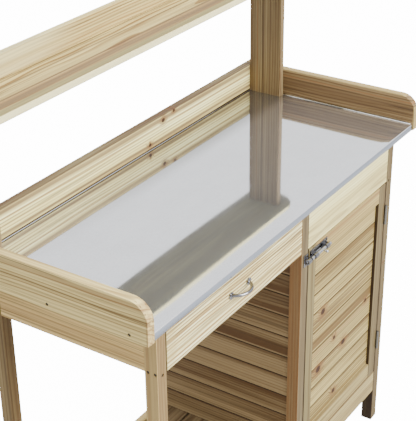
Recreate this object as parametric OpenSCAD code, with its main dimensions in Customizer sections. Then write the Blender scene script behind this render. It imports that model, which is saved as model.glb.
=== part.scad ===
// Wooden potting bench with a metal-covered worktop, one drawer, one cabinet and a top shelf.
// Millimetres. X runs along the bench, Y towards its back, Z up. The origin is on the floor,
// at the middle of the bench.

/* [Overall] */
// Height of the metal worktop above the floor
work_h = 830; // [780:5:900]
// Length over the two side boards
bench_len = 1080; // [1040:10:1300]
// Depth from the side boards' front to the back board's rear
bench_depth = 460; // [440:10:520]

/* [Worktop] */
// Thickness of the side boards that edge the worktop
side_board_t = 19; // [16:1:24]
// Thickness of the back board
back_board_t = 20; // [16:1:24]
// Height of the side and back boards
edge_board_h = 82; // [70:1:110]
// Radius of the side boards' front top corners
edge_corner_r = 40; // [10:1:60]
// Thickness of the wooden board under the metal
worktop_board_t = 14; // [12:1:20]
// Thickness of the metal sheet
sheet_t = 1; // [0.6:0.1:1.2]
// Height of the metal sheet's turned-up edge
sheet_flange_h = 4.5; // [3:0.5:8]
// Distance from the side boards' front back to the metal's front
sheet_setback = 3; // [1:1:8]

/* [Frame] */
// Width of each square leg
leg_w = 28; // [24:1:36]
// Distance from a side board's inner face to the outer face of its legs
leg_inset_x = 41; // [25:1:60]
// Distance from the metal's front back to the front of the legs
leg_inset_front = 25; // [18:1:40]
// Distance from the back board's front to the rear of the back legs
leg_inset_back = 13; // [10:1:40]
// Thickness of the rails, the aprons and the front boards
rail_t = 18; // [14:1:20]
// Height of the aprons under the worktop
apron_h = 107; // [100:1:112]
// Left face of the middle legs, from the middle of the bench
middle_leg_x = 44; // [0:2:60]

/* [Lower shelf and cabinet] */
// Height of the lower rails' undersides above the floor
lower_rail_z = 95; // [70:5:120]
// Height of the lower rails
lower_rail_h = 62; // [50:1:70]
// Height of the lower shelf's upper face above the floor
lower_shelf_z = 160; // [155:1:190]
// Thickness of the lower shelf's slats
slat_t = 15; // [12:1:18]
// Number of slats in the open bay
slat_count = 5; // [3:1:6]
// Gap between two slats of the open bay
slat_gap = 7.5; // [3:0.5:15]
// Thickness of the planks in the cabinet's walls
plank_t = 10; // [8:1:12]
// Number of planks in the cabinet's left wall
wall_planks = 12; // [8:1:16]
// Number of planks in the cabinet's right wall and in its back
side_planks = 10; // [8:1:14]
// Gap between two planks
plank_gap = 0.8; // [0.3:0.1:2]

/* [Door] */
// Width of the door's upright stiles
stile_w = 34; // [28:1:50]
// Height of the door's top and bottom rails
door_rail_h = 40; // [30:1:60]
// Number of planks in the door
door_plank_count = 9; // [6:1:12]
// Depth of the planks behind the door's front
door_recess = 7; // [3:1:8]
// Gap around the door
door_gap = 2; // [2:0.5:3]

/* [Drawer] */
// Gap around the drawer's front
drawer_gap = 2; // [1:0.5:4]
// Thickness of the drawer's sides and back
drawer_side_t = 12; // [9:1:15]
// Thickness of the drawer's bottom
drawer_bottom_t = 4; // [3:1:6]
// Length of the drawer box behind its front
drawer_len = 324; // [240:2:330]

/* [Top shelf] */
// Height of the shelf's underside above the worktop
shelf_rise = 306; // [200:2:400]
// Width of the posts
post_w = 86; // [60:2:110]
// Thickness of the posts
post_t = 17; // [14:1:22]
// Length of the shelf
shelf_len = 1140; // [1080:10:1400]
// Depth of the shelf
shelf_depth = 135; // [110:5:200]
// Thickness of the shelf
shelf_t = 14; // [12:1:20]
// Radius of the shelf's front corners
shelf_corner_r = 60; // [10:2:60]
// Height of the rail along the shelf's rear edge
shelf_rail_h = 48; // [30:1:70]
// Thickness of the shelf's rail
shelf_rail_t = 14; // [10:1:18]

/* [Hardware] */
// Length of each hinge
hinge_len = 50; // [40:1:60]
// Radius of the hinge pin
hinge_pin_r = 1.5; // [1.2:0.1:1.8]
// Radius of the hinge knuckle
knuckle_r = 3.2; // [2.8:0.1:3.6]
// Radius of the sliding bolt
bolt_r = 4; // [3:0.5:5]
// Length of the bolt's base plate
bolt_plate_len = 78; // [70:1:90]
// Height of the bolt's base plate
bolt_plate_h = 28; // [24:1:34]
// Overall width of the drawer handle
handle_w = 79; // [70:1:100]
// Projection of the drawer handle
handle_out = 26; // [20:1:27]
// Radius of the handle's bar
handle_bar_r = 3.5; // [2.5:0.5:4.5]

/* [Hidden] */
$fn = 48;

// Places along Y, from the front to the back
y_front = -bench_depth / 2;
y_back = bench_depth / 2;
y_lip = y_front + sheet_setback;
y_back_board = y_back - back_board_t;
y_leg_front = y_lip + leg_inset_front;
y_leg_front_rear = y_leg_front + leg_w;
y_leg_back_rear = y_back_board - leg_inset_back;
y_leg_back = y_leg_back_rear - leg_w;
y_front_board_rear = y_leg_front + rail_t;

// Places along X, from the left to the right
x_in = bench_len / 2 - side_board_t;
x_leg = x_in - leg_inset_x;
x_leg_in = x_leg - leg_w;
x_mid = middle_leg_x;
x_mid_r = middle_leg_x + leg_w;
x_wall = x_mid + 2;

// Heights
z_board = work_h - sheet_t - worktop_board_t;
z_apron = z_board - apron_h;
z_lower_rail_top = lower_rail_z + lower_rail_h;
z_slat = lower_shelf_z - slat_t;
slat_y0 = y_leg_front_rear + 2;
slat_y1 = y_leg_back - 2;

// Front boards: the drawer's front and the fascia share one height
front_board_z = z_apron - 6;
drawer_top_gap = 1;

// Cabinet
middle_top_rail_h = 75;
wall_top_drop = 15;
wall_inset = 2;
back_inset = 4;
batten_w = 14;
lower_middle_rail_x = x_mid + 5;
// Along X, where the open bay's slats end and the cabinet's floor boards begin
slats_x1 = x_mid + 13;
floor_x0 = x_mid + 15;
cabinet_floor_gap = 2;

// Drawer box, on two wooden runners
drawer_x0 = -x_leg_in + drawer_gap;
drawer_x1 = x_mid - drawer_gap;
runner_h = 12;
runner_w = 34;
runner_clear = 0.5;
box_side_gap = 12;
box_x0 = -x_leg_in + box_side_gap;
box_x1 = x_mid - box_side_gap;
box_z = z_apron + runner_h + runner_clear;
box_h = z_board - 3 - box_z;
box_y1 = y_front_board_rear + drawer_len - rail_t;
bottom_rise = 6;

// Door
door_x0 = x_mid_r + door_gap;
door_x1 = x_leg_in - door_gap;
door_z0 = z_lower_rail_top + door_gap;
door_z1 = front_board_z - door_gap;
panel_x0 = door_x0 + stile_w;
panel_x1 = door_x1 - stile_w;
panel_z0 = door_z0 + door_rail_h;
panel_z1 = door_z1 - door_rail_h;

// Hinges, set in the gap between the door and the right leg
hinge_x = (door_x1 + x_leg_in) / 2;
hinge_y = y_leg_front - knuckle_r - 0.1;
hinge_zs = [door_z0 + 97, door_z1 - 85];
knuckles = 5;
knuckle_gap = 0.4;
leaf_t = 0.9;
leaf_w = 15;
pin_clear = 0.05;
hinge_screw_spots = [-16, 16];

// Sliding bolt on the door and its keeper on the middle leg
bolt_z = door_z1 - door_rail_h / 2;
bolt_plate_x = door_x0 + 4;
bolt_plate_t = 1.5;
bolt_y = y_leg_front - bolt_plate_t - bolt_r - 2.5;
bolt_clear = 0.08;
saddle_wall = 2;
saddle_w = 13;
saddle_xs = [bolt_plate_x + 7, bolt_plate_x + bolt_plate_len - 7 - saddle_w];
keeper_x = x_mid_r - 20;
keeper_w = 18;
keeper_clear = 0.5;
rod_tip_x = door_x0 - 1;
rod_len = 84;
knob_x = bolt_plate_x + bolt_plate_len / 2 + 4;
knob_r = 2.5;
knob_len = 12;
small_head_r = 2.4;
small_shank_r = 1.2;
small_shank_len = 12;
plate_screw_dz = bolt_plate_h / 2 - 4.5;
plate_screw_xs = [bolt_plate_x + 4, bolt_plate_x + bolt_plate_len - 4];
keeper_screw_x = keeper_x + keeper_w / 2;

// Drawer handle
handle_x = (drawer_x0 + drawer_x1) / 2;
handle_z = front_board_z + 47;
foot_r = 7.5;
foot_t = 2.5;
foot_x = handle_w / 2 - foot_r;
bow_out = handle_out - handle_bar_r;
bow_r = (foot_x * foot_x + bow_out * bow_out) / (2 * bow_out);
handle_screw_r = 2;
handle_screw_head_r = 4;
handle_screw_head_t = 2.5;

// Wood screws, sunk in a counterbore
sink_r = 3.5;
sink_depth = 3;
head_r = 3.3;
head_t = 1.5;
shank_r = 1.5;
shank_clear = 0.1;
board_shank_len = 30;
leg_shank_len = 18;
// Side board screws along the worktop's edge, and the pair that holds each post
edge_screw_ys = [y_front + 40, -8, y_back - 50];
edge_screw_z = work_h - 4;
post_screw_ys = [y_back_board - 25, y_back_board - 65];
post_screw_z = work_h + 45;
post_shank_len = 25;
back_screw_xs = [-400, -133, 133, 400];
leg_front_screw_z = front_board_z - 1;
leg_side_screw_z = front_board_z + 7;
leg_side_screw_dys = [5, 21];

// Colours
pale_wood = "BurlyWood";
tan_wood = "Tan";
brown_wood = "Peru";
metal = "LightSteelBlue";
zinc = "Silver";

// ---- shapes used by several parts ----

// A board given by its lowest and its highest corner
module board(a, b) {
    translate(a)
        cube(b - a);
}

// A cylinder of length len that starts at p and points along +X (dir 1) or -X (dir -1)
module rod_x(p, len, r, dir = 1) {
    translate(p)
        rotate([0, 90 * dir, 0])
            cylinder(h = len, r = r);
}

// The same along Y
module rod_y(p, len, r, dir = 1) {
    translate(p)
        rotate([-90 * dir, 0, 0])
            cylinder(h = len, r = r);
}

// A sunk wood screw whose hole opens at the origin and runs along -Z
module screw(shank_len) {
    translate([0, 0, -sink_depth])
        cylinder(h = head_t, r = head_r);
    translate([0, 0, -sink_depth - shank_len])
        cylinder(h = shank_len + 0.1, r = shank_r);
}

// The hole that such a screw sits in
module screw_hole(shank_len) {
    translate([0, 0, -sink_depth])
        cylinder(h = sink_depth + 1, r = sink_r);
    translate([0, 0, -sink_depth - shank_len - 1])
        cylinder(h = shank_len + 2, r = shank_r + shank_clear);
}

// A small flat-headed screw whose head lies on the plane z = 0 and whose shank runs along -Z
module small_screw(head_z = 1) {
    cylinder(h = head_z, r = small_head_r);
    translate([0, 0, -small_shank_len])
        cylinder(h = small_shank_len + 0.1, r = small_shank_r);
}

// The hole for the shank of a small screw
module small_hole() {
    translate([0, 0, -small_shank_len - 1])
        cylinder(h = small_shank_len + 5, r = small_shank_r + shank_clear);
}

// Places: the children are drawn pointing out of a face, at each spot
module on_side_boards(side) {
    for (y = edge_screw_ys)
        translate([side * bench_len / 2, y, edge_screw_z])
            rotate([0, 90 * side, 0])
                children();
}

module on_posts(side) {
    for (y = post_screw_ys)
        translate([side * bench_len / 2, y, post_screw_z])
            rotate([0, 90 * side, 0])
                children();
}

module on_back_board() {
    for (x = back_screw_xs)
        translate([x, y_back, edge_screw_z])
            rotate([-90, 0, 0])
                children();
}

// One screw in the front and two in the outer face of each front corner leg
module on_front_leg(side) {
    translate([side * (x_leg - leg_w / 2 - 2), y_leg_front, leg_front_screw_z])
        rotate([90, 0, 0])
            children();
    for (dy = leg_side_screw_dys)
        translate([side * x_leg, y_leg_front + dy, leg_side_screw_z])
            rotate([0, 90 * side, 0])
                children();
}

module on_leg_leaf() {
    for (z = hinge_zs, dz = hinge_screw_spots)
        translate([x_leg_in - leaf_t, hinge_y + knuckle_r + leaf_w / 2 + 1, z + dz])
            rotate([0, -90, 0])
                children();
}

module on_door_leaf() {
    for (z = hinge_zs, dz = hinge_screw_spots)
        translate([door_x1 + leaf_t, hinge_y + knuckle_r + leaf_w / 2 + 1, z + dz])
            rotate([0, 90, 0])
                children();
}

module on_bolt_plate() {
    for (x = plate_screw_xs, s = [-1, 1])
        translate([x, y_leg_front - bolt_plate_t, bolt_z + s * plate_screw_dz])
            rotate([90, 0, 0])
                children();
}

module on_keeper() {
    for (s = [-1, 1])
        translate([keeper_screw_x, y_leg_front - bolt_plate_t, bolt_z + s * plate_screw_dz])
            rotate([90, 0, 0])
                children();
}

module on_handle_feet() {
    for (s = [-1, 1])
        translate([handle_x + s * foot_x, y_leg_front, handle_z])
            children();
}

// ---- legs ----

module leg(x, y) {
    board([x, y, 0], [x + leg_w, y + leg_w, z_board]);
}

module leg_front_left() {
    color(pale_wood)
        difference() {
            leg(-x_leg, y_leg_front);
            on_front_leg(-1) screw_hole(leg_shank_len);
        }
}

module leg_front_middle() {
    color(pale_wood)
        difference() {
            leg(x_mid, y_leg_front);
            on_keeper() small_hole();
        }
}

module leg_front_right() {
    color(pale_wood)
        difference() {
            leg(x_leg_in, y_leg_front);
            on_front_leg(1) screw_hole(leg_shank_len);
            on_leg_leaf() small_hole();
        }
}

module leg_back_left() {
    color(tan_wood) leg(-x_leg, y_leg_back);
}

module leg_back_middle() {
    color(tan_wood) leg(x_mid, y_leg_back);
}

module leg_back_right() {
    color(tan_wood) leg(x_leg_in, y_leg_back);
}

// ---- rails and aprons ----

// A rail along Y between a front and a back leg, whose left face is at x
module rail_y(x, z0, z1) {
    board([x, y_leg_front_rear, z0], [x + rail_t, y_leg_back, z1]);
}

// A rail along X with its outer face level with the front or the back of the legs
module front_rail(x0, x1, z0, z1) {
    board([x0, y_leg_front, z0], [x1, y_front_board_rear, z1]);
}

module back_rail(x0, x1, z0, z1) {
    board([x0, y_leg_back_rear - rail_t, z0], [x1, y_leg_back_rear, z1]);
}

module side_apron_left() {
    color(tan_wood) rail_y(-x_leg, z_apron, z_board);
}

module side_apron_right() {
    color(tan_wood) rail_y(x_leg - rail_t, z_apron, z_board);
}

module back_apron_left() {
    color(tan_wood) back_rail(-x_leg_in, x_mid, z_apron, z_board);
}

module back_apron_right() {
    color(tan_wood) back_rail(x_mid_r, x_leg_in, z_apron, z_board);
}

module middle_top_rail() {
    color(tan_wood)
        board([x_wall + plank_t, y_leg_front_rear, z_board - middle_top_rail_h],
              [x_mid_r, y_leg_back, z_board]);
}

module fascia_panel() {
    color(pale_wood) front_rail(x_mid_r, x_leg_in, front_board_z, z_board);
}

module lower_side_rail_left() {
    color(tan_wood) rail_y(-x_leg, lower_rail_z, z_slat);
}

module lower_side_rail_right() {
    color(tan_wood) rail_y(x_leg - rail_t, lower_rail_z, z_slat);
}

module lower_middle_rail() {
    color(tan_wood) rail_y(lower_middle_rail_x, lower_rail_z, z_slat);
}

module lower_front_rail_left() {
    color(pale_wood) front_rail(-x_leg_in, x_mid, lower_rail_z, z_lower_rail_top);
}

module lower_front_rail_right() {
    color(pale_wood) front_rail(x_mid_r, x_leg_in, lower_rail_z, z_lower_rail_top);
}

module lower_back_rail_left() {
    color(tan_wood) back_rail(-x_leg_in, x_mid, lower_rail_z, z_lower_rail_top);
}

module lower_back_rail_right() {
    color(tan_wood) back_rail(x_mid_r, x_leg_in, lower_rail_z, z_lower_rail_top);
}

// ---- lower shelf and cabinet ----

// Boards along X, side by side across the depth between the legs
module floor_boards(x0, x1, count, gap) {
    width = (slat_y1 - slat_y0 - (count - 1) * gap) / count;
    for (i = [0 : count - 1]) {
        y = slat_y0 + i * (width + gap);
        board([x0, y, z_slat], [x1, y + width, lower_shelf_z]);
    }
}

// Planks on edge, one above the other, between two heights
module plank_stack(a, b, count) {
    pitch = (b[2] - a[2]) / count;
    for (i = [0 : count - 1]) {
        z = a[2] + i * pitch;
        board([a[0], a[1], z], [b[0], b[1], z + pitch - (i < count - 1 ? plank_gap : 0)]);
    }
}

module lower_shelf_slats() {
    color(tan_wood) floor_boards(-x_leg, slats_x1, slat_count, slat_gap);
}

module cabinet_floor_boards() {
    color(tan_wood) floor_boards(floor_x0, x_leg, slat_count, cabinet_floor_gap);
}

module cabinet_wall_left_planks() {
    color(brown_wood)
        plank_stack([x_wall, y_leg_front_rear, lower_shelf_z],
                    [x_wall + plank_t, y_leg_back, z_board - wall_top_drop], wall_planks);
}

module cabinet_wall_right_planks() {
    color(brown_wood)
        plank_stack([x_leg - wall_inset - plank_t, y_leg_front_rear, lower_shelf_z],
                    [x_leg - wall_inset, y_leg_back, z_apron], side_planks);
}

module cabinet_back_planks() {
    color(brown_wood)
        plank_stack([x_mid_r, y_leg_back_rear - back_inset - plank_t, z_lower_rail_top],
                    [x_leg_in, y_leg_back_rear - back_inset, z_apron], side_planks);
}

// Square strips in the cabinet's corners that the side planks are nailed to
module panel_battens() {
    right_x = x_leg - wall_inset - plank_t - batten_w;
    color(tan_wood)
        for (x = [x_wall + plank_t, right_x], y = [y_leg_front_rear, y_leg_back - batten_w])
            board([x, y, lower_shelf_z], [x + batten_w, y + batten_w, z_apron]);
}

// ---- worktop ----

module worktop_board() {
    color(tan_wood)
        difference() {
            board([-x_in, y_lip + sheet_t, z_board], [x_in, y_back_board, z_board + worktop_board_t]);
            on_side_boards(-1) screw_hole(board_shank_len);
            on_side_boards(1) screw_hole(board_shank_len);
            on_back_board() screw_hole(board_shank_len);
        }
}

// Flat top with its front folded down over the board's edge and the other edges turned up
module metal_sheet() {
    color(metal)
        union() {
            board([-x_in, y_lip, work_h - sheet_t], [x_in, y_back_board, work_h]);
            board([-x_in, y_lip, z_board], [x_in, y_lip + sheet_t, work_h]);
            board([-x_in, y_back_board - sheet_t, work_h - sheet_t],
                  [x_in, y_back_board, work_h + sheet_flange_h]);
            for (x = [-x_in, x_in - sheet_t])
                board([x, y_lip, work_h - sheet_t],
                      [x + sheet_t, y_back_board, work_h + sheet_flange_h]);
        }
}

// Side board standing on edge, drawn as its outline seen from the side
module side_board(x) {
    translate([x, 0, z_board])
        rotate([90, 0, 90])
            linear_extrude(side_board_t)
                union() {
                    translate([y_front, 0])
                        square([bench_depth, edge_board_h - edge_corner_r]);
                    translate([y_front + edge_corner_r, 0])
                        square([bench_depth - edge_corner_r, edge_board_h]);
                    translate([y_front + edge_corner_r, edge_board_h - edge_corner_r])
                        circle(r = edge_corner_r, $fn = 96);
                }
}

module side_board_left() {
    color(tan_wood)
        difference() {
            side_board(-bench_len / 2);
            on_side_boards(-1) screw_hole(board_shank_len);
            on_posts(-1) screw_hole(post_shank_len);
        }
}

module side_board_right() {
    color(tan_wood)
        difference() {
            side_board(x_in);
            on_side_boards(1) screw_hole(board_shank_len);
            on_posts(1) screw_hole(post_shank_len);
        }
}

module back_board() {
    color(tan_wood)
        difference() {
            board([-x_in, y_back_board, z_board], [x_in, y_back, z_board + edge_board_h]);
            on_back_board() screw_hole(board_shank_len);
        }
}

// ---- posts and top shelf ----

module post(x) {
    board([x, y_back_board - sheet_t - post_w, work_h],
          [x + post_t, y_back_board - sheet_t, work_h + shelf_rise]);
}

module post_left() {
    color(tan_wood)
        difference() {
            post(-x_in + sheet_t);
            on_posts(-1) screw_hole(post_shank_len);
        }
}

module post_right() {
    color(tan_wood)
        difference() {
            post(x_in - sheet_t - post_t);
            on_posts(1) screw_hole(post_shank_len);
        }
}

module top_shelf() {
    color(pale_wood)
        translate([0, y_back - shelf_depth, work_h + shelf_rise])
            linear_extrude(shelf_t)
                union() {
                    translate([-shelf_len / 2, shelf_corner_r])
                        square([shelf_len, shelf_depth - shelf_corner_r]);
                    translate([-shelf_len / 2 + shelf_corner_r, 0])
                        square([shelf_len - 2 * shelf_corner_r, shelf_depth]);
                    for (s = [-1, 1])
                        translate([s * (shelf_len / 2 - shelf_corner_r), shelf_corner_r])
                            circle(r = shelf_corner_r, $fn = 96);
                }
}

module shelf_rail() {
    z = work_h + shelf_rise + shelf_t;
    color(pale_wood)
        board([-shelf_len / 2, y_back - shelf_rail_t, z], [shelf_len / 2, y_back, z + shelf_rail_h]);
}

// ---- drawer ----

module drawer_runner_left() {
    color(tan_wood)
        board([-x_leg + rail_t, y_leg_front_rear, z_apron],
              [-x_leg + rail_t + runner_w, y_leg_back, z_apron + runner_h]);
}

module drawer_runner_right() {
    color(tan_wood)
        board([x_wall - runner_w, y_leg_front_rear, z_apron],
              [x_wall, y_leg_back, z_apron + runner_h]);
}

module drawer_front() {
    color(pale_wood)
        difference() {
            board([drawer_x0, y_leg_front, front_board_z],
                  [drawer_x1, y_front_board_rear, z_board - drawer_top_gap]);
            on_handle_feet()
                rod_y([0, -1, 0], rail_t + 2, handle_screw_r + shank_clear);
        }
}

module drawer_side_left() {
    color(tan_wood)
        board([box_x0, y_front_board_rear, box_z], [box_x0 + drawer_side_t, box_y1, box_z + box_h]);
}

module drawer_side_right() {
    color(tan_wood)
        board([box_x1 - drawer_side_t, y_front_board_rear, box_z], [box_x1, box_y1, box_z + box_h]);
}

module drawer_back() {
    color(tan_wood)
        board([box_x0 + drawer_side_t, box_y1 - drawer_side_t, box_z],
              [box_x1 - drawer_side_t, box_y1, box_z + box_h - 8]);
}

module drawer_bottom() {
    z = box_z + bottom_rise;
    color(pale_wood)
        board([box_x0 + drawer_side_t, y_front_board_rear, z],
              [box_x1 - drawer_side_t, box_y1 - drawer_side_t, z + drawer_bottom_t]);
}

// Bow handle: a round bar bent in the level plane, on two round feet
module drawer_handle() {
    color(zinc)
        difference() {
            union() {
                translate([handle_x, y_leg_front - bow_out + bow_r, handle_z])
                    intersection() {
                        rotate_extrude($fn = 96)
                            translate([bow_r, 0])
                                circle(r = handle_bar_r, $fn = 24);
                        board([-handle_w, -2 * bow_r, -10], [handle_w, bow_out - bow_r, 10]);
                    }
                on_handle_feet()
                    rod_y([0, 0, 0], foot_t, foot_r, -1);
            }
            on_handle_feet()
                rod_y([0, 1, 0], 6, handle_screw_r, -1);
        }
}

// Machine screws that hold the handle from inside the drawer
module handle_screws() {
    color(zinc)
        on_handle_feet() {
            rod_y([0, rail_t, 0], handle_screw_head_t, handle_screw_head_r);
            rod_y([0, rail_t + 0.1, 0], rail_t + 4.6, handle_screw_r - 0.1, -1);
        }
}

// ---- door ----

module door_part(x0, x1, z0, z1) {
    board([x0, y_leg_front, z0], [x1, y_front_board_rear, z1]);
}

module door_stile_left() {
    color(pale_wood)
        difference() {
            door_part(door_x0, panel_x0, door_z0, door_z1);
            on_bolt_plate() small_hole();
        }
}

module door_stile_right() {
    color(pale_wood)
        difference() {
            door_part(panel_x1, door_x1, door_z0, door_z1);
            on_door_leaf() small_hole();
        }
}

module door_rail_top() {
    color(tan_wood)
        difference() {
            door_part(panel_x0, panel_x1, panel_z1, door_z1);
            on_bolt_plate() small_hole();
        }
}

module door_rail_bottom() {
    color(pale_wood) door_part(panel_x0, panel_x1, door_z0, panel_z0);
}

module door_planks() {
    color(pale_wood)
        plank_stack([panel_x0, y_leg_front + door_recess, panel_z0],
                    [panel_x1, y_front_board_rear, panel_z1], door_plank_count);
}

// ---- hinges ----

// One leaf: its plate and every other knuckle, from knuckle number first. side is +1 for the
// leaf on the leg and -1 for the leaf on the door.
module hinge_leaf(z, side, first) {
    pitch = hinge_len / knuckles;
    z0 = z - hinge_len / 2;
    x0 = side > 0 ? x_leg_in - leaf_t : door_x1;
    difference() {
        union() {
            board([x0, hinge_y + knuckle_r + 0.3, z0],
                  [x0 + leaf_t, hinge_y + knuckle_r + leaf_w, z0 + hinge_len]);
            for (i = [first : 2 : knuckles - 1]) {
                zk = z0 + i * pitch + knuckle_gap / 2;
                hk = pitch - knuckle_gap;
                translate([hinge_x, hinge_y, zk])
                    cylinder(h = hk, r = knuckle_r);
                board([x0, hinge_y, zk], [x0 + leaf_t, hinge_y + knuckle_r + 1, zk + hk]);
            }
        }
        translate([hinge_x, hinge_y, z0 - 1])
            cylinder(h = hinge_len + 2, r = hinge_pin_r + (side > 0 ? 0.02 : pin_clear));
    }
}

module hinge_leaves_leg() {
    color(zinc)
        for (z = hinge_zs)
            difference() {
                hinge_leaf(z, 1, 0);
                on_leg_leaf() small_hole();
            }
}

module hinge_leaves_door() {
    color(zinc)
        for (z = hinge_zs)
            difference() {
                hinge_leaf(z, -1, 1);
                on_door_leaf() small_hole();
            }
}

module hinge_pins() {
    color(zinc)
        for (z = hinge_zs)
            translate([hinge_x, hinge_y, z - hinge_len / 2]) {
                cylinder(h = hinge_len + 1, r = hinge_pin_r);
                translate([0, 0, hinge_len])
                    cylinder(h = 1, r = hinge_pin_r + 0.8);
            }
}

// Screws through the door's leaves, shank only: their heads are level with the leaf
module hinge_screws_door() {
    color(zinc)
        on_door_leaf()
            translate([0, 0, -small_shank_len])
                cylinder(h = small_shank_len, r = small_shank_r);
}

// ---- sliding bolt ----

// A strap over the bolt, standing on the plate, from x on
module saddle(x, width, clear) {
    outer = bolt_r + saddle_wall;
    difference() {
        union() {
            rod_x([x, bolt_y, bolt_z], width, outer);
            board([x, bolt_y, bolt_z - outer], [x + width, y_leg_front - bolt_plate_t, bolt_z + outer]);
        }
        rod_x([x - 1, bolt_y, bolt_z], width + 2, bolt_r + clear);
    }
}

module bolt_plate() {
    color(zinc)
        difference() {
            union() {
                board([bolt_plate_x, y_leg_front - bolt_plate_t, bolt_z - bolt_plate_h / 2],
                      [bolt_plate_x + bolt_plate_len, y_leg_front, bolt_z + bolt_plate_h / 2]);
                for (x = saddle_xs)
                    saddle(x, saddle_w, bolt_clear);
            }
            on_bolt_plate() small_hole();
        }
}

// Bolt with its finger knob, drawn back so that its tip is clear of the keeper
module bolt_rod() {
    color(zinc)
        union() {
            rod_x([rod_tip_x, bolt_y, bolt_z], rod_len, bolt_r);
            rod_y([knob_x, bolt_y, bolt_z], knob_len, knob_r, -1);
            translate([knob_x, bolt_y - knob_len, bolt_z])
                sphere(r = knob_r + 1);
        }
}

module bolt_keeper() {
    color(zinc)
        difference() {
            union() {
                board([keeper_x, y_leg_front - bolt_plate_t, bolt_z - bolt_plate_h / 2],
                      [keeper_x + keeper_w, y_leg_front, bolt_z + bolt_plate_h / 2]);
                saddle(keeper_x + 3, keeper_w - 6, keeper_clear);
            }
            on_keeper() small_hole();
        }
}

module bolt_plate_screws() {
    color(zinc)
        on_bolt_plate() small_screw();
}

// ---- fasteners of the frame ----

// The keeper's screws and those of the hinge leaves on the leg
module leg_hardware_screws() {
    color(zinc) {
        on_keeper() small_screw();
        on_leg_leaf()
            translate([0, 0, -small_shank_len])
                cylinder(h = small_shank_len, r = small_shank_r);
    }
}

module board_screws() {
    color(zinc) {
        for (side = [-1, 1]) {
            on_side_boards(side) screw(board_shank_len);
            on_posts(side) screw(post_shank_len);
            on_front_leg(side) screw(leg_shank_len);
        }
        on_back_board() screw(board_shank_len);
    }
}

leg_front_left();
leg_front_middle();
leg_front_right();
leg_back_left();
leg_back_middle();
leg_back_right();
side_apron_left();
side_apron_right();
back_apron_left();
back_apron_right();
middle_top_rail();
fascia_panel();
lower_side_rail_left();
lower_side_rail_right();
lower_middle_rail();
lower_front_rail_left();
lower_front_rail_right();
lower_back_rail_left();
lower_back_rail_right();
lower_shelf_slats();
cabinet_floor_boards();
cabinet_wall_left_planks();
cabinet_wall_right_planks();
cabinet_back_planks();
panel_battens();
worktop_board();
metal_sheet();
side_board_left();
side_board_right();
back_board();
post_left();
post_right();
top_shelf();
shelf_rail();
drawer_runner_left();
drawer_runner_right();
drawer_front();
drawer_side_left();
drawer_side_right();
drawer_back();
drawer_bottom();
drawer_handle();
handle_screws();
door_stile_left();
door_stile_right();
door_rail_top();
door_rail_bottom();
door_planks();
hinge_leaves_leg();
hinge_leaves_door();
hinge_pins();
hinge_screws_door();
bolt_plate();
bolt_rod();
bolt_keeper();
bolt_plate_screws();
leg_hardware_screws();
board_screws();
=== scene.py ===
"""Looks of the potting bench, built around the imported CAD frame. Lengths are in metres."""
import math

import bmesh
import bpy
from mathutils import Matrix, Vector, noise


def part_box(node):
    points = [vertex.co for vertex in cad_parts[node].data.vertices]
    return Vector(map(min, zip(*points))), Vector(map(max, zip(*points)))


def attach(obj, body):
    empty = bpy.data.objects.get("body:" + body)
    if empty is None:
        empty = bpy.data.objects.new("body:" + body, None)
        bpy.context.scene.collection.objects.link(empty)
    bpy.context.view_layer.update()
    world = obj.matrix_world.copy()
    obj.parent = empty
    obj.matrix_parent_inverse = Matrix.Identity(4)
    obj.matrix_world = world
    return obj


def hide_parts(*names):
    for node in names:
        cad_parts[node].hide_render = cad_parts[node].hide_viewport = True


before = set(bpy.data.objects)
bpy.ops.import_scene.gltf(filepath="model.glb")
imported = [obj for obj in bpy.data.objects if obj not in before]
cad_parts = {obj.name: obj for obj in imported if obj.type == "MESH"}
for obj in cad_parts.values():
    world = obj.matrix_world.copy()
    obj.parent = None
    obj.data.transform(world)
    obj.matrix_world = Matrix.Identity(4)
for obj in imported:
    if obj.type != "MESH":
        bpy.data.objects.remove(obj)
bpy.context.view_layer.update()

# Camera: the photograph's viewpoint, found from the bench's own edges
CAMERA_PLACE = Vector((-1.8573, -1.2304, 1.9488))
CAMERA_AZIMUTH = math.radians(-56.37)
CAMERA_ELEVATION = math.radians(27.87)
CAMERA_ROLL = math.radians(-0.68)
CAMERA_LENS = 100.8
CAMERA_SENSOR = 36.0
CAMERA_REACH = 60

# Surroundings: brighter towards one side. Seen directly, they and the floor are plain white
SKY_BRIGHT = 1.62
SKY_DIM = 0.88
SKY_BRIGHT_SIDE = (0.60, 0.62, 0.50)
SKY_FADE = (-0.35, 0.60)
BACKDROP_WHITE = 14.0

# Soft lights, and the floor's half width, grey and roughness
FRONT_LIGHT = dict(place=(0.1, -3.2, 2.5), aim=(0, 0, 0.6), size=2.4, watts=275.0)
TOP_LIGHT = dict(place=(0.2, -0.3, 3.4), aim=(0, 0, 0.8), size=2.6, watts=45.0)
FLOOR_HALF = 30.0
FLOOR_GREY = 0.5
FLOOR_ROUGHNESS = 0.9


# ---- shader graph helpers ----

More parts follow.
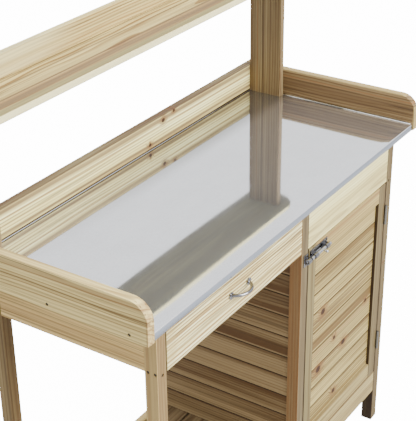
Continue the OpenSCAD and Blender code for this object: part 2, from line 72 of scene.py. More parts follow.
class Graph:
    """Adds shader nodes to one node tree and joins them. Values are numbers or sockets."""

    def __init__(self, tree):
        self.tree = tree

    def node(self, kind, **settings):
        made = self.tree.nodes.new(kind)
        for key, value in settings.items():
            setattr(made, key, value)
        return made

    def put(self, socket, value):
        if isinstance(value, bpy.types.NodeSocket):
            self.tree.links.new(value, socket)
        else:
            socket.default_value = value

    def math(self, operation, *values, clamp=False):
        made = self.node("ShaderNodeMath", operation=operation, use_clamp=clamp)
        for socket, value in zip(made.inputs, values):
            self.put(socket, value)
        return made.outputs[0]

    def plus(self, first, second, clamp=False):
        return self.math("ADD", first, second, clamp=clamp)

    def minus(self, first, second):
        return self.math("SUBTRACT", first, second)

    def times(self, first, second, clamp=False):
        return self.math("MULTIPLY", first, second, clamp=clamp)

    def linear(self, value, slope, base):
        return self.plus(self.times(value, slope), base)

    def swing(self, value, amount):
        """A value from 0 to 1 turned into one that goes amount / 2 to either side of 0."""
        return self.times(self.minus(value, 0.5), amount)

    def distance(self, first, second):
        """Length of the hypotenuse."""
        return self.math("SQRT", self.plus(self.math("POWER", first, 2.0), self.math("POWER", second, 2.0)))

    def combine(self, x, y, z):
        made = self.node("ShaderNodeCombineXYZ")
        for socket, value in zip(made.inputs, (x, y, z)):
            self.put(socket, value)
        return made.outputs[0]

    def separate(self, vector):
        made = self.node("ShaderNodeSeparateXYZ")
        self.put(made.inputs[0], vector)
        return made.outputs[0], made.outputs[1], made.outputs[2]

    def place(self):
        """Object coordinates, which are the bench's own."""
        return self.node("ShaderNodeTexCoord").outputs["Object"]

    def scale(self, vector, by):
        made = self.node("ShaderNodeVectorMath", operation="MULTIPLY")
        self.put(made.inputs[0], vector)
        self.put(made.inputs[1], by)
        return made.outputs[0]

    def noise(self, vector, detail=2.0, roughness=0.5):
        made = self.node("ShaderNodeTexNoise")
        self.put(made.inputs["Vector"], vector)
        made.inputs["Scale"].default_value = 1.0
        made.inputs["Detail"].default_value = detail
        made.inputs["Roughness"].default_value = roughness
        return made.outputs[0]

    def random(self, value):
        made = self.node("ShaderNodeTexWhiteNoise", noise_dimensions="1D")
        self.put(made.inputs["W"], value)
        return made.outputs["Value"]

    def remap(self, value, low, high, to_low=0.0, to_high=1.0):
        """A smooth step from to_low at low to to_high at high."""
        made = self.node("ShaderNodeMapRange", interpolation_type="SMOOTHSTEP")
        for name, item in (("Value", value), ("From Min", low), ("From Max", high),
                           ("To Min", to_low), ("To Max", to_high)):
            self.put(made.inputs[name], item)
        return made.outputs[0]

    def mix(self, factor, first, second, blend="MIX"):
        made = self.node("ShaderNodeMix", data_type="RGBA", blend_type=blend)
        self.put(made.inputs["Factor"], factor)
        colours = [s for s in made.inputs if s.type == "RGBA"]
        self.put(colours[0], rgba(first))
        self.put(colours[1], rgba(second))
        return [s for s in made.outputs if s.type == "RGBA"][0]

    def shaded(self, colour, shade):
        """A colour multiplied by one grey value."""
        return self.mix(1.0, colour, self.combine(shade, shade, shade), "MULTIPLY")

    def ramp(self, factor, stops):
        made = self.node("ShaderNodeValToRGB")
        elements = made.color_ramp.elements
        while len(elements) < len(stops):
            elements.new(0.5)
        for element, (place, colour) in zip(elements, stops):
            element.position = place
            element.color = rgba(colour)
        self.put(made.inputs[0], factor)
        return made.outputs[0]

    def bump(self, shader, height, strength, distance):
        made = self.node("ShaderNodeBump")
        made.inputs["Strength"].default_value = strength
        made.inputs["Distance"].default_value = distance
        self.put(made.inputs["Height"], height)
        self.put(shader.inputs["Normal"], made.outputs[0])


def rgba(colour):
    """A colour tuple given its alpha; a socket is passed through."""
    if isinstance(colour, bpy.types.NodeSocket):
        return colour
    return (*colour[:3], 1.0)


def new_material(name):
    material = bpy.data.materials.new(name)
    material.use_nodes = True
    return material, Graph(material.node_tree), material.node_tree.nodes["Principled BSDF"]


# ---- camera, lights and floor ----

def make_camera():
    """A camera at the photograph's place and angle, with no shift and no depth of field."""
    a, e, roll = CAMERA_AZIMUTH, CAMERA_ELEVATION, CAMERA_ROLL
    back = Vector((math.sin(a) * math.cos(e), -math.cos(a) * math.cos(e), math.sin(e)))
    right = (-back).cross(Vector((0, 0, 1))).normalized()
    up = right.cross(-back)
    tilted_right = right * math.cos(roll) + up * math.sin(roll)
    tilted_up = up * math.cos(roll) - right * math.sin(roll)
    data = bpy.data.cameras.new("camera")
    data.lens = CAMERA_LENS
    data.sensor_width = CAMERA_SENSOR
    data.clip_end = CAMERA_REACH
    camera = bpy.data.objects.new("camera", data)
    turn = Matrix((tilted_right, tilted_up, back)).transposed()
    camera.matrix_world = Matrix.Translation(CAMERA_PLACE) @ turn.to_4x4()
    bpy.context.scene.collection.objects.link(camera)
    bpy.context.scene.camera = camera


def soft_light(name, place, aim, size, watts):
    """A large square area light at place, pointing at aim."""
    data = bpy.data.lights.new(name, "AREA")
    data.shape = "SQUARE"
    data.size = size
    data.energy = watts
    light = bpy.data.objects.new(name, data)
    turn = (Vector(aim) - Vector(place)).to_track_quat("-Z", "Y")
    light.matrix_world = Matrix.Translation(place) @ turn.to_matrix().to_4x4()
    bpy.context.scene.collection.objects.link(light)


def white_when_seen(graph):
    """The backdrop's strength where the camera looks straight at it, and 0 for other light."""
    seen = graph.node("ShaderNodeLightPath").outputs["Is Camera Ray"]
    return graph.times(seen, BACKDROP_WHITE)


def make_surroundings():
    world = bpy.data.worlds.new("studio")
    bpy.context.scene.world = world
    world.use_nodes = True
    graph = Graph(world.node_tree)
    facing = graph.node("ShaderNodeVectorMath", operation="DOT_PRODUCT")
    graph.put(facing.inputs[0], graph.node("ShaderNodeTexCoord").outputs["Generated"])
    facing.inputs[1].default_value = SKY_BRIGHT_SIDE
    sky = graph.remap(facing.outputs["Value"], *SKY_FADE, SKY_DIM, SKY_BRIGHT)
    background = world.node_tree.nodes["Background"]
    graph.put(background.inputs["Strength"], graph.plus(sky, white_when_seen(graph)))
    background.inputs["Color"].default_value = (1.0, 1.0, 1.0, 1)


def make_floor():
    mesh = bpy.data.meshes.new("floor")
    half = FLOOR_HALF
    mesh.from_pydata([(-half, -half, 0), (half, -half, 0), (half, half, 0), (-half, half, 0)],
                     [], [(0, 1, 2, 3)])
    floor = bpy.data.objects.new("floor", mesh)
    bpy.context.scene.collection.objects.link(floor)
    material, graph, shader = new_material("pale_floor")
    shader.inputs["Base Color"].default_value = (FLOOR_GREY, FLOOR_GREY, FLOOR_GREY, 1)
    shader.inputs["Roughness"].default_value = FLOOR_ROUGHNESS
    shader.inputs["Emission Color"].default_value = (1, 1, 1, 1)
    graph.put(shader.inputs["Emission Strength"], white_when_seen(graph))
    mesh.materials.append(material)


# ---- wood ----

BARE_EDGE = (0.84, 0.76, 0.40)
PALE = (0.68, 0.57, 0.24)
SUNNY = (0.56, 0.40, 0.165)
STRAW = (0.46, 0.34, 0.13)
TAN = (0.40, 0.29, 0.115)
UMBER = (0.19, 0.125, 0.06)
BROWN = (0.22, 0.155, 0.075)
RED = (0.26, 0.13, 0.05)
DARK = (0.13, 0.075, 0.035)
UNDERSIDE = (0.15, 0.14, 0.085)
OLIVE = (0.26, 0.22, 0.09)
# Painted shadow: near black, for gaps between boards and between parts, and for faces deep in shade
GAP_SHADE = (0.035, 0.02, 0.01)
KNOT_CORE = (0.045, 0.018, 0.008)
KNOT_RING = (0.20, 0.09, 0.03)

# Patterns drawn out along the grain: repeats per metre along it and across it
WAVE = (2.2, 9.0)
BAND = (0.9, 24.0)
STREAK = (2.6, 120.0)
THREAD = (1.3, 150.0)
FIBRE = (22.0, 900.0)

# From light (0) to dark (1): the middle level, and how far each thing moves it
MIDDLE_LEVEL = 0.42
BAND_WEIGHT = 1.5
BOARD_WEIGHT = 0.36
STREAK_WEIGHT = 1.1
LATE_WEIGHT = 0.16
YEAR_WEIGHT = 0.50

# Fine dark lines: the pattern's values where one starts and is full, how far grain lowers both,
# and how strongly and how dark the line is painted
THREAD_START = 0.60
THREAD_FULL = 0.68
THREAD_SHIFT = 0.03
THREAD_DEPTH = 0.6
THREAD_MOST = 0.75
THREAD_TONE = 0.45

# Growth rings: their number per metre, the parts of a ring where late wood is none and where it
# is full, before and after its darkest line, and where the pith lies off the board
RINGS_PER_METRE = 150.0
LATE_BEFORE = (0.45, 0.92)
LATE_AFTER = (1.0, 0.95)
PITH_SIDEWAYS = 0.09
PITH_DEPTH = 0.06
PITH_NEAREST = 0.035
RING_BEND_SIDEWAYS = 0.022
RING_BEND = 0.016
RING_SWELL = 0.009

# What sets random numbers apart: steps between nodes and between boards, and for the pith's
# place. LONGEST_SHIFT is how far at most the pattern moves along the grain
NODE_STEP = 1.37
BOARD_STEP = 3.17
SIDEWAYS_STEP = 11.3
DEPTH_STEP = 23.9
LONGEST_SHIFT = 9.0

# Knots: their wobble's repeats per metre, how much a distance along the first axis counts, and,
# in knot radii, where core and halo are none and where they are full
KNOT_WOBBLE = 140.0
KNOT_FIRST_AXIS = 0.8
CORE_REACH = (1.05, 0.6)
HALO_REACH = (3.0, 0.9)

# Board edges, in metres from the edge: where a mark is none and where it is full
# The marks: a painted highlight on a board's first edge, painted shade on its last edge, painted shadow in
# the gap
HIGHLIGHT_EDGE = (0.0065, 0.0035)
SHADED_EDGE = (0.010, 0.001)
GAP_FIRST = (0.0019, 0.0008)
GAP_LAST = (0.0028, 0.0013)

# The wood's surface: roughness and what the fibre adds to it, gloss, and bump
WOOD_ROUGHNESS = 0.48
FIBRE_ROUGHNESS = 0.2
WOOD_SPECULAR = 0.22
WOOD_BUMP_STRENGTH = 0.35
WOOD_BUMP = 0.0006

# Widths of the rounded edges of the wood and of the bolt's plates
WOOD_BEVEL = 0.0012
PLATE_BEVEL = 0.0004


def shades(mean, spread):
    """Light, middle and dark tone round a mean colour; the darker, the redder."""
    r, g, b = mean
    light = (min(r * (1 + spread), 0.9), min(g * (1 + 1.1 * spread), 0.85), b * (1 + 1.3 * spread))
    dark = (r * (1 - 0.9 * spread), g * (1 - 1.1 * spread), b * (1 - 1.2 * spread))
    return light, mean, dark


def board_space(graph, axes, centre, planks, seed):
    """Each axis measured from a board's own middle, a number that differs for each board, and, in
    a node of several boards, the distance from a board's first edge with the boards' pitch."""
    number = seed * NODE_STEP
    rim = None
    local = {}
    for (axis, value), middle in zip(axes.items(), centre):
        if planks and planks[0] == axis:
            start, pitch = planks[1:]
            step = graph.math("DIVIDE", graph.minus(value, start), pitch)
            number = graph.linear(graph.math("FLOOR", step), BOARD_STEP, number)
            within = graph.math("FRACT", step)
            local[axis] = graph.swing(within, pitch)
            rim = graph.times(within, pitch), pitch
        else:
            local[axis] = graph.minus(value, middle)
    return local, number, rim


def drawn_out(graph, place, pattern, detail=2.0, roughness=0.5):
    """Noise drawn out along the grain."""
    u, v, w = place
    along, across = pattern
    stretched = graph.combine(graph.times(u, along), graph.times(v, across), graph.times(w, across))
    return graph.noise(stretched, detail, roughness)


def knot_masks(graph, axes, knots, seed):
    """How much of each knot's core and of its halo covers a point."""
    masks = []
    for first, place_a, second, place_b, radius in knots:
        da = graph.minus(axes[first], place_a)
        db = graph.minus(axes[second], place_b)
        wobble = graph.noise(graph.combine(graph.times(da, KNOT_WOBBLE), graph.times(db, KNOT_WOBBLE),
                                           seed + 2.0))
        far = graph.distance(graph.times(da, KNOT_FIRST_AXIS), db)
        far = graph.times(far, graph.linear(wobble, 0.6, 0.7))
        core = graph.remap(far, radius * CORE_REACH[0], radius * CORE_REACH[1])
        halo = graph.remap(far, radius * HALO_REACH[0], radius * HALO_REACH[1])
        masks.append((core, halo))
    return masks


def growth_rings(graph, v, w, number, wave, masks):
    """How much late wood a point has, and a random number for its year. The rings run round a
    pith that lies off the board, and swell round knots."""
    pith_v = graph.swing(graph.random(graph.plus(number, SIDEWAYS_STEP)), PITH_SIDEWAYS)
    pith_w = graph.linear(graph.random(graph.plus(number, DEPTH_STEP)), PITH_DEPTH, PITH_NEAREST)
    dv = graph.plus(graph.minus(v, pith_v), graph.times(wave, RING_BEND_SIDEWAYS))
    radius = graph.distance(dv, graph.plus(w, pith_w))
    radius = graph.plus(radius, graph.times(wave, RING_BEND))
    swell = 0.0
    for _, halo in masks:
        swell = graph.plus(swell, halo)
    radius = graph.plus(radius, graph.times(swell, RING_SWELL))
    turns = graph.times(radius, RINGS_PER_METRE)
    ring = graph.math("FRACT", turns)
    late = graph.times(graph.remap(ring, *LATE_BEFORE), graph.remap(ring, *LATE_AFTER))
    return late, graph.random(graph.math("FLOOR", turns))


def paint_bands(graph, painted, axes, bands, wave, streak):
    """Streaks of a given colour at given places, a little wavy and uneven. Besides the wood's own streaks,
    some are painted shadow in gaps and painted light and shade on whole faces.
    """
    for axis, line, half, paint, strength in bands:
        place = graph.plus(axes[axis], graph.swing(wave, half * 0.9))
        away = graph.math("ABSOLUTE", graph.minus(place, line))
        uneven = graph.linear(streak, 0.9, 0.45)
        cover = graph.times(graph.remap(away, half * 1.15, half * 0.45), uneven)
        painted = graph.mix(graph.times(cover, strength, clamp=True), painted, paint)
    return painted


def paint_board_edges(graph, painted, rim, light, dark):
    """A painted highlight along the first edge, painted shade along the last edge, and painted shadow in
    the gap between two boards.
    """
    edge, pitch = rim
    # Painted highlight along the first edge
    edge_highlight = graph.times(graph.remap(edge, *HIGHLIGHT_EDGE), 0.65)
    painted = graph.mix(edge_highlight, painted, light)
    shaded = graph.times(graph.remap(edge, pitch - SHADED_EDGE[0], pitch - SHADED_EDGE[1]), 0.5)
    painted = graph.mix(shaded, painted, dark)
    # Painted shadow in the gap between two boards
    gap_shade = graph.math("MAXIMUM", graph.remap(edge, *GAP_FIRST),
                     graph.remap(edge, pitch - GAP_LAST[0], pitch - GAP_LAST[1]))
    return graph.mix(graph.times(gap_shade, 0.9), painted, GAP_SHADE)


def paint_knots(graph, painted, masks):
    for core, halo in masks:
        painted = graph.mix(graph.times(halo, 0.6), painted, KNOT_RING)
        painted = graph.mix(core, painted, KNOT_CORE)
    return painted


def wood(name, along, colour, box, spread=0.42, seed=0, planks=None, bands=(), knots=(),
         grain=1.0, mottle=1.0):
    """Fir with growth rings, soft colour bands, fine fibre and knots.

    along is the grain's axis. planks is (axis, start, pitch) where a node is many boards.
    bands are (axis, centre, half width, colour, strength); knots are (first axis, place, second
    axis, place, radius), both in the bench's own coordinates."""
    material, graph, shader = new_material(name)
    axes = dict(zip("xyz", graph.separate(graph.place())))
    local, number, rim = board_space(graph, axes, (box[0] + box[1]) / 2, planks, seed)
    u, v, w = [local[axis] for axis in along + "xyz".replace(along, "")]
    pick = graph.random(number)
    place = graph.plus(u, graph.times(pick, LONGEST_SHIFT)), v, w

    wave = drawn_out(graph, place, WAVE)
    band = drawn_out(graph, place, BAND)
    streak = drawn_out(graph, place, STREAK, 3.0, 0.6)
    thread = drawn_out(graph, place, THREAD, 3.0, 0.6)
    fibre = drawn_out(graph, place, FIBRE)
    masks = knot_masks(graph, axes, knots, seed)
    late, year = growth_rings(graph, v, w, number, wave, masks)

    level = graph.plus(graph.swing(band, BAND_WEIGHT * mottle), MIDDLE_LEVEL)
    level = graph.plus(level, graph.swing(pick, BOARD_WEIGHT * mottle))
    level = graph.plus(level, graph.swing(streak, STREAK_WEIGHT * grain))
    ring_weight = graph.linear(year, YEAR_WEIGHT * grain, LATE_WEIGHT * grain)
    level = graph.plus(level, graph.times(late, ring_weight), clamp=True)
    light, middle, dark = shades(colour, spread)
    painted = graph.ramp(level, ((0.0, light), (0.45, middle), (1.0, dark)))

    shift = THREAD_SHIFT * grain
    line = graph.times(graph.remap(thread, THREAD_START - shift, THREAD_FULL - shift),
                       min(THREAD_DEPTH * grain, THREAD_MOST))
    painted = graph.mix(line, painted, tuple(THREAD_TONE * tone for tone in dark))
    painted = paint_bands(graph, painted, axes, bands, wave, streak)
    if rim:
        painted = paint_board_edges(graph, painted, rim, light, dark)
    painted = paint_knots(graph, painted, masks)
    painted = graph.shaded(painted, graph.linear(fibre, 0.16, 0.92))
    graph.put(shader.inputs["Base Color"], painted)
    graph.put(shader.inputs["Roughness"], graph.linear(fibre, FIBRE_ROUGHNESS, WOOD_ROUGHNESS))
    shader.inputs["Specular IOR Level"].default_value = WOOD_SPECULAR
    height = graph.plus(graph.times(fibre, 0.6), graph.times(late, 0.5))
    graph.bump(shader, height, WOOD_BUMP_STRENGTH, WOOD_BUMP)
    return material


# How many boards the nodes that hold several have
DOOR_PLANKS = 9
WALL_PLANKS = 12
SIDE_PLANKS = 10
FLOOR_BOARDS = 5


def plank_rows(node, axis, count):
    """The start and pitch of a node's boards along an axis."""
    low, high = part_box(node)
    i = "xyz".index(axis)
    return axis, low[i], (high[i] - low[i] + 0.0008) / count


def wood_plan():
    """What each wooden node is painted with: its arguments for wood()."""
    plan = {
        "leg_front_left": dict(along="z", colour=(0.33, 0.235, 0.098), grain=1.4, bands=[
            # A lighter left face, painted light; then a painted shadow line in the gap by the drawer front
            ("x", -0.481, 0.0035, SUNNY, 0.8),
            ("x", -0.452, 0.0009, GAP_SHADE, 1.0), ("y", -0.181, 0.004, RED, 0.5)]),
        "leg_front_middle": dict(along="z", colour=(0.225, 0.185, 0.095), grain=1.8, bands=[
            # The first band is a painted shadow in the gap by the door
            ("x", 0.072, 0.0024, GAP_SHADE, 1.0), ("x", 0.044, 0.0015, RED, 0.8)]),
        "leg_front_right": dict(along="z", colour=(0.17, 0.125, 0.055), bands=[
            # The first band paints its left face near black: painted shade in the gap by the door and on
            # the foot below
            ("x", 0.452, 0.0024, GAP_SHADE, 1.0), ("x", 0.479, 0.002, PALE, 0.4)],
            knots=[("x", 0.464, "z", 0.476, 0.0022)]),
        "leg_back_left": dict(along="z", colour=(0.20, 0.138, 0.06)),
        "leg_back_middle": dict(along="z", colour=UMBER),
        "leg_back_right": dict(along="z", colour=UMBER),
        "side_apron_left": dict(along="y", colour=(0.62, 0.43, 0.165), bands=[
            ("z", 0.733, 0.012, RED, 0.35), ("z", 0.770, 0.010, OLIVE, 0.4),
            ("z", 0.720, 0.0016, DARK, 0.7), ("z", 0.751, 0.0014, DARK, 0.7)]),
        "side_apron_right": dict(along="y", colour=TAN),
        "fascia_panel": dict(along="x", colour=(0.78, 0.69, 0.30), spread=0.34, bands=[
            # The first band is a painted shadow line along the gap over the door
            ("z", 0.702, 0.0018, DARK, 0.9), ("z", 0.712, 0.006, TAN, 0.5)]),
        "drawer_front": dict(along="x", colour=(0.74, 0.615, 0.275), spread=0.62, grain=2.6, bands=[
            # The first band is a painted shadow in the gap by the left leg
            ("x", -0.450, 0.0024, GAP_SHADE, 1.0), ("z", 0.702, 0.0012, DARK, 0.5),
            ("z", 0.728, 0.006, STRAW, 0.5), ("x", -0.445, 0.030, STRAW, 0.45)]),
        "drawer_side_left": dict(along="y", colour=PALE),
        "drawer_side_right": dict(along="y", colour=PALE),
        "drawer_back": dict(along="x", colour=PALE),
        "drawer_bottom": dict(along="x", colour=PALE),
        "lower_front_rail_right": dict(along="x", colour=(0.41, 0.32, 0.135), bands=[
            # A painted shadow line along the gap under the door
            ("z", 0.157, 0.0018, DARK, 0.9)]),
        "side_board_left": dict(along="y", colour=(0.62, 0.475, 0.192), spread=0.48, grain=1.3, bands=[
            ("y", -0.2285, 0.0025, RED, 0.5),
            ("z", 0.886, 0.007, RED, 0.5), ("z", 0.862, 0.002, DARK, 0.5),
            ("z", 0.846, 0.0015, DARK, 0.35)]),
        "side_board_right": dict(along="y", colour=(0.20, 0.13, 0.057), grain=1.4, bands=[
            ("z", 0.881, 0.0025, RED, 0.8), ("z", 0.868, 0.0018, DARK, 0.8),
            ("z", 0.897, 0.0028, STRAW, 0.9), ("y", -0.229, 0.0025, STRAW, 0.8)]),
        "back_board": dict(along="x", colour=(0.73, 0.63, 0.255), spread=0.55, grain=1.5, bands=[
            ("z", 0.888, 0.009, TAN, 0.8), ("z", 0.889, 0.005, UMBER, 0.8),
            ("z", 0.875, 0.0016, RED, 0.9), ("z", 0.842, 0.0035, UMBER, 0.8),
            ("z", 0.897, 0.0022, DARK, 1.0)],
            knots=[("x", 0.130, "z", 0.884, 0.0060), ("x", 0.172, "z", 0.893, 0.0045),
                   ("x", 0.077, "z", 0.843, 0.0050)]),
        "post_left": dict(along="z", colour=BROWN),
        "post_right": dict(along="z", colour=(0.23, 0.165, 0.078), grain=1.4, bands=[
            ("y", 0.170, 0.0014, DARK, 0.9), ("y", 0.152, 0.0010, DARK, 0.8),
            ("y", 0.188, 0.0012, RED, 0.8)]),
        "top_shelf": dict(along="x", colour=(0.52, 0.405, 0.16), spread=0.55, grain=1.4, bands=[
            ("y", 0.130, 0.017, RED, 0.8), ("y", 0.127, 0.010, UMBER, 0.9),
            ("y", 0.143, 0.0030, DARK, 0.9), ("y", 0.184, 0.0028, DARK, 0.8),
            ("y", 0.106, 0.011, OLIVE, 1.0),
            # The last band paints the shelf's underside darker: painted shade
            ("y", 0.095, 0.002, BARE_EDGE, 1.0), ("z", 1.136, 0.0015, UNDERSIDE, 1.0)]),
        "shelf_rail": dict(along="x", colour=(0.64, 0.505, 0.20), spread=0.5, grain=1.5, bands=[
            ("x", -0.50, 0.34, BARE_EDGE, 0.55), ("z", 1.172, 0.006, STRAW, 0.6),
            ("z", 1.152, 0.003, STRAW, 0.6)]),
        "door_stile_left": dict(along="z", colour=(0.21, 0.165, 0.07), bands=[
            # The first band is a painted shadow in the gap by the middle leg
            ("x", 0.074, 0.0022, GAP_SHADE, 1.0), ("x", 0.108, 0.0016, DARK, 0.8)]),
        "door_stile_right": dict(along="z", colour=(0.20, 0.155, 0.07), bands=[
            # Painted shade on the inner face beside the planks, and a painted shadow in the gap by the
            # right leg
            ("x", 0.416, 0.0016, GAP_SHADE, 1.0), ("x", 0.450, 0.0022, GAP_SHADE, 0.9)]),
        "door_rail_top": dict(along="x", colour=(0.46, 0.35, 0.13), bands=[
            ("z", 0.692, 0.007, RED, 0.6), ("z", 0.660, 0.001, DARK, 0.6)]),
        "door_rail_bottom": dict(along="x", colour=(0.39, 0.305, 0.125), bands=[
            # The second band is a painted shadow in the gap under the door
            ("z", 0.199, 0.001, DARK, 0.5), ("z", 0.160, 0.001, GAP_SHADE, 0.8)]),
        "door_planks": dict(
            along="x", colour=(0.33, 0.247, 0.088), spread=0.55, mottle=1.8, grain=1.3,
            planks=plank_rows("door_planks", "z", DOOR_PLANKS), bands=[
                ("z", 0.346, 0.0026, DARK, 0.9), ("z", 0.478, 0.0030, DARK, 0.8),
                ("z", 0.392, 0.0050, RED, 0.6), ("z", 0.635, 0.0080, STRAW, 0.6)],
            knots=[("x", 0.166, "z", 0.492, 0.0095), ("x", 0.277, "z", 0.347, 0.0090),
                   ("x", 0.153, "z", 0.340, 0.0105), ("x", 0.236, "z", 0.228, 0.0075),
                   ("x", 0.228, "z", 0.386, 0.0060), ("x", 0.388, "z", 0.404, 0.0060)]),
        # Very dark: painted shade on the slats under the bench
        "lower_shelf_slats": dict(along="x", colour=(0.13, 0.09, 0.045),
                                  planks=plank_rows("lower_shelf_slats", "y", FLOOR_BOARDS)),
        "cabinet_floor_boards": dict(along="x", colour=BROWN,
                                     planks=plank_rows("cabinet_floor_boards", "y", FLOOR_BOARDS)),
        "cabinet_wall_left_planks": dict(
            along="y", colour=(0.21, 0.142, 0.067), spread=0.55, mottle=2.0, grain=0.8,
            planks=plank_rows("cabinet_wall_left_planks", "z", WALL_PLANKS),
            knots=[("y", -0.115, "z", 0.655, 0.0045)]),
        "cabinet_wall_right_planks": dict(
            along="y", colour=BROWN, planks=plank_rows("cabinet_wall_right_planks", "z", SIDE_PLANKS)),
        "cabinet_back_planks": dict(
            along="x", colour=BROWN, planks=plank_rows("cabinet_back_planks", "z", SIDE_PLANKS)),
        "panel_battens": dict(along="z", colour=BROWN),
    }
    for name in ("lower_side_rail_left", "lower_side_rail_right", "lower_middle_rail",
                 "middle_top_rail", "drawer_runner_left", "drawer_runner_right"):
        plan[name] = dict(along="y", colour=BROWN)
    for name in ("back_apron_left", "back_apron_right", "lower_front_rail_left",
                 "lower_back_rail_left", "lower_back_rail_right", "worktop_board"):
        plan[name] = dict(along="x", colour=TAN)
    return plan


def soften_edges(node, width):
    """Joins the node's faces and rounds its sharp edges, so that they catch the light."""
    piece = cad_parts[node]
    weld = piece.modifiers.new("weld", "WELD")
    weld.merge_threshold = 0.00001
    flat = piece.modifiers.new("flat_faces", "DECIMATE")
    flat.decimate_type = "DISSOLVE"
    flat.angle_limit = math.radians(1)
    bevel = piece.modifiers.new("bevel", "BEVEL")
    bevel.width = width
    bevel.segments = 3
    bevel.limit_method = "ANGLE"
    bevel.angle_limit = math.radians(40)
    bevel.use_clamp_overlap = True


def paint_wood():
    for seed, (node, given) in enumerate(sorted(wood_plan().items())):
        material = wood("wood_" + node, box=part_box(node), seed=seed + 1, **given)
        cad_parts[node].material_slots[0].material = material
        soften_edges(node, WOOD_BEVEL)


# ---- metal ----

# Plated metal: its pattern's repeats per metre, and bump
METAL_CELL = 260.0
METAL_BUMP_STRENGTH = 0.2
METAL_BUMP = 0.00005

# The sheet's colours: flat, folded front edge with a painted reflection, turned-up rim, and painted shade
# towards the back right corner
SHEET_TONE = (0.77, 0.785, 0.815)
EDGE_TONE = (0.40, 0.44, 0.52)
RIM_TONE = (0.20, 0.155, 0.10)
CORNER_SHADE_TONE = (0.33, 0.33, 0.31)
SHEET_METALLIC = 0.935
CORNER_SHADE_MOST = 0.75

# Where those colours start and are full: the painted shade at places along y and x, the edge's
# below the flat top and the rim's above it
CORNER_SHADE_ALONG_Y = (0.085, 0.130)
CORNER_SHADE_ALONG_X = (-0.60, 0.40)
EDGE_BELOW = (0.0012, 0.0026)
RIM_ABOVE = (0.0008, 0.0016)

# The sheet's patterns: repeats per metre along x, y and z
CLOUD = (11.0, 16.0, 11.0)
ROLLED = (3.0, 260.0, 3.0)
SPANGLE = (240.0, 240.0, 240.0)

# The sheet's shape: thickness, radius of the front fold and of the turned-up edges, its faces,
# and its rise, which fades out within CALM_WIDTH of every edge and FRONT_CALM of the fold
SHEET_GAUGE = 0.0010
FRONT_BEND = 0.0022
EDGE_CURL = 0.0016
BEND_STEPS = 6
FLAT_ROWS = 30
FLAT_COLUMNS = 72
CALM_WIDTH = 0.03
FRONT_CALM = 0.012
SHEET_RISE = 0.0006


def metal(name, colour, roughness, mottle=0.05):
    """Metal with small changes of tone and polish from place to place."""
    material, graph, shader = new_material(name)
    cloud = graph.noise(graph.scale(graph.place(), (METAL_CELL,) * 3), 3.0, 0.6)
    graph.put(shader.inputs["Base Color"],
              graph.shaded(colour, graph.linear(cloud, mottle, 1.0 - mottle / 2)))
    shader.inputs["Metallic"].default_value = 1.0
    graph.put(shader.inputs["Roughness"], graph.linear(cloud, roughness * 0.5, roughness * 0.75))
    graph.bump(shader, cloud, METAL_BUMP_STRENGTH, METAL_BUMP)
    return material


def sheet_material(top):
    """Bright galvanised steel: nearly a mirror, with faint cloudy marks and rolling lines, a painted
    reflection, bluer and darker, on its folded front edge, and painted shade towards its back right corner."""
    material, graph, shader = new_material("galvanised_steel")
    place = graph.place()
    cloud = graph.noise(graph.scale(place, CLOUD), 4.0, 0.6)
    rolled = graph.noise(graph.scale(place, ROLLED), 2.0)
    spangle = graph.noise(graph.scale(place, SPANGLE), 2.0, 0.7)
    shade = graph.plus(graph.linear(cloud, 0.14, 0.93), graph.swing(spangle, 0.16))
    painted = graph.shaded(SHEET_TONE, shade)
    x, y, height = graph.separate(place)
    # Painted shade towards the back right corner, darkening what the sheet reflects there
    corner_shade = graph.times(graph.remap(y, *CORNER_SHADE_ALONG_Y), graph.remap(x, *CORNER_SHADE_ALONG_X))
    painted = graph.mix(graph.times(corner_shade, CORNER_SHADE_MOST), painted, CORNER_SHADE_TONE)
    # Painted reflection: bluer and darker on the folded front edge
    folded = graph.remap(height, top - EDGE_BELOW[0], top - EDGE_BELOW[1])
    painted = graph.mix(folded, painted, EDGE_TONE)
    raised = graph.remap(height, top + RIM_ABOVE[0], top + RIM_ABOVE[1])
    painted = graph.mix(raised, painted, RIM_TONE)
    graph.put(shader.inputs["Base Color"], painted)
    shader.inputs["Metallic"].default_value = SHEET_METALLIC
    rough = graph.plus(graph.linear(cloud, 0.06, 0.01), graph.times(rolled, 0.02))
    graph.put(shader.inputs["Roughness"], rough)
    return material


def sheet_rise(x, y):
    """Small rise of the sheet over its board, as thin metal never lies quite flat."""
    broad = noise.noise(Vector((x * 3.1, y * 4.3, 1.7)))
    small = noise.noise(Vector((x * 9.0, y * 8.0, 5.1)))
    return SHEET_RISE * (broad + 0.4 * small + 1.2) / 2.4


def quarter_turn():
    """Points of a quarter bend of radius 1: how far along and how far up each one is."""
    angles = [math.pi / 2 * i / BEND_STEPS for i in range(BEND_STEPS + 1)]
    return [(math.sin(a), 1 - math.cos(a)) for a in angles]


def sheet_rows(front, back, bottom, top, flange):
    """The sheet's outline from its folded front edge to its turned-up back, as (y, z)."""
    turn = quarter_turn()
    rows = [(front, bottom), (front, (bottom + top) / 2)]
    rows += [(front + FRONT_BEND * rise, top - FRONT_BEND + FRONT_BEND * along)
             for along, rise in turn]
    flat_start = front + FRONT_BEND
    flat_end = back - EDGE_CURL
    rows += [(flat_start + (flat_end - flat_start) * i / FLAT_ROWS, top)
             for i in range(1, FLAT_ROWS + 1)]
    rows += [(flat_end + EDGE_CURL * along, top + EDGE_CURL * rise) for along, rise in turn[1:]]
    rows.append((back, top + flange))
    return rows


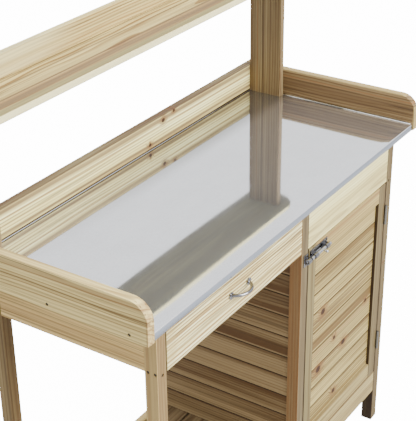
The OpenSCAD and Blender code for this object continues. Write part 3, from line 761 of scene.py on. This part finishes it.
def sheet_columns(left, right, flange):
    """The sheet's outline between its two turned-up ends, as (x, rise)."""
    turn = quarter_turn()[1:]
    columns = [(left, flange)]
    columns += [(left + EDGE_CURL * (1 - along), EDGE_CURL * rise) for along, rise in reversed(turn)]
    span = right - left - 2 * EDGE_CURL
    columns += [(left + EDGE_CURL + span * i / FLAT_COLUMNS, 0.0) for i in range(FLAT_COLUMNS + 1)]
    columns += [(right - EDGE_CURL + EDGE_CURL * along, EDGE_CURL * rise) for along, rise in turn]
    columns.append((right, flange))
    return columns


def share(value, whole):
    """value as a part of whole, held between 0 and 1."""
    return min(max(value / whole, 0.0), 1.0)


def make_sheet():
    """The metal sheet as bent thin metal: folded down in front, turned up at the other edges."""
    low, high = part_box("metal_sheet")
    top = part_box("worktop_board")[1].z + SHEET_GAUGE
    flange = high.z - top
    front, back = low.y, high.y - SHEET_GAUGE
    left, right = low.x + SHEET_GAUGE, high.x - SHEET_GAUGE

    shell = bmesh.new()
    grid = []
    for y, z in sheet_rows(front, back, low.z, top, flange):
        inside = share(y - front - FRONT_BEND, FRONT_CALM)
        line = []
        for x, rise in sheet_columns(left, right, flange):
            calm = share(min(x - left, right - x, y - front, back - y), CALM_WIDTH)
            height = max(z, top + rise * inside) if z >= top else z
            line.append(shell.verts.new((x, y, height + sheet_rise(x, y) * calm * inside)))
        grid.append(line)
    for lower, upper in zip(grid, grid[1:]):
        for i in range(len(lower) - 1):
            shell.faces.new((lower[i], lower[i + 1], upper[i + 1], upper[i]))
    mesh = bpy.data.meshes.new("sheet_top")
    shell.to_mesh(mesh)
    shell.free()
    for face in mesh.polygons:
        face.use_smooth = True
    piece = bpy.data.objects.new("sheet_top", mesh)
    bpy.context.scene.collection.objects.link(piece)
    thick = piece.modifiers.new("thickness", "SOLIDIFY")
    thick.thickness = SHEET_GAUGE
    thick.offset = -1
    mesh.materials.append(sheet_material(top))
    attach(piece, "frame")
    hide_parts("metal_sheet")


def paint_metal():
    bright = metal("bright_zinc_plate", (0.50, 0.51, 0.54), 0.12, 0.5)
    shaded = metal("grey_zinc_plate", (0.25, 0.25, 0.265), 0.16, 0.6)
    dark = metal("dark_zinc_plate", (0.22, 0.215, 0.20), 0.40, 0.2)
    screws = metal("screw_plate", (0.10, 0.09, 0.075), 0.5, 0.3)
    looks = {
        "drawer_handle": shaded, "bolt_plate": shaded, "bolt_rod": bright, "bolt_keeper": shaded,
        "bolt_plate_screws": screws, "handle_screws": bright,
        "hinge_leaves_leg": dark, "hinge_leaves_door": dark, "hinge_pins": dark,
        "hinge_screws_door": dark, "leg_hardware_screws": screws, "board_screws": screws,
    }
    for node, material in looks.items():
        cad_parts[node].material_slots[0].material = material
    for node in ("bolt_plate", "bolt_keeper"):
        soften_edges(node, PLATE_BEVEL)


# ---- all of it ----

def main():
    make_camera()
    make_surroundings()
    soft_light("front_light", **FRONT_LIGHT)
    soft_light("top_light", **TOP_LIGHT)
    make_floor()
    paint_wood()
    paint_metal()
    make_sheet()


main()
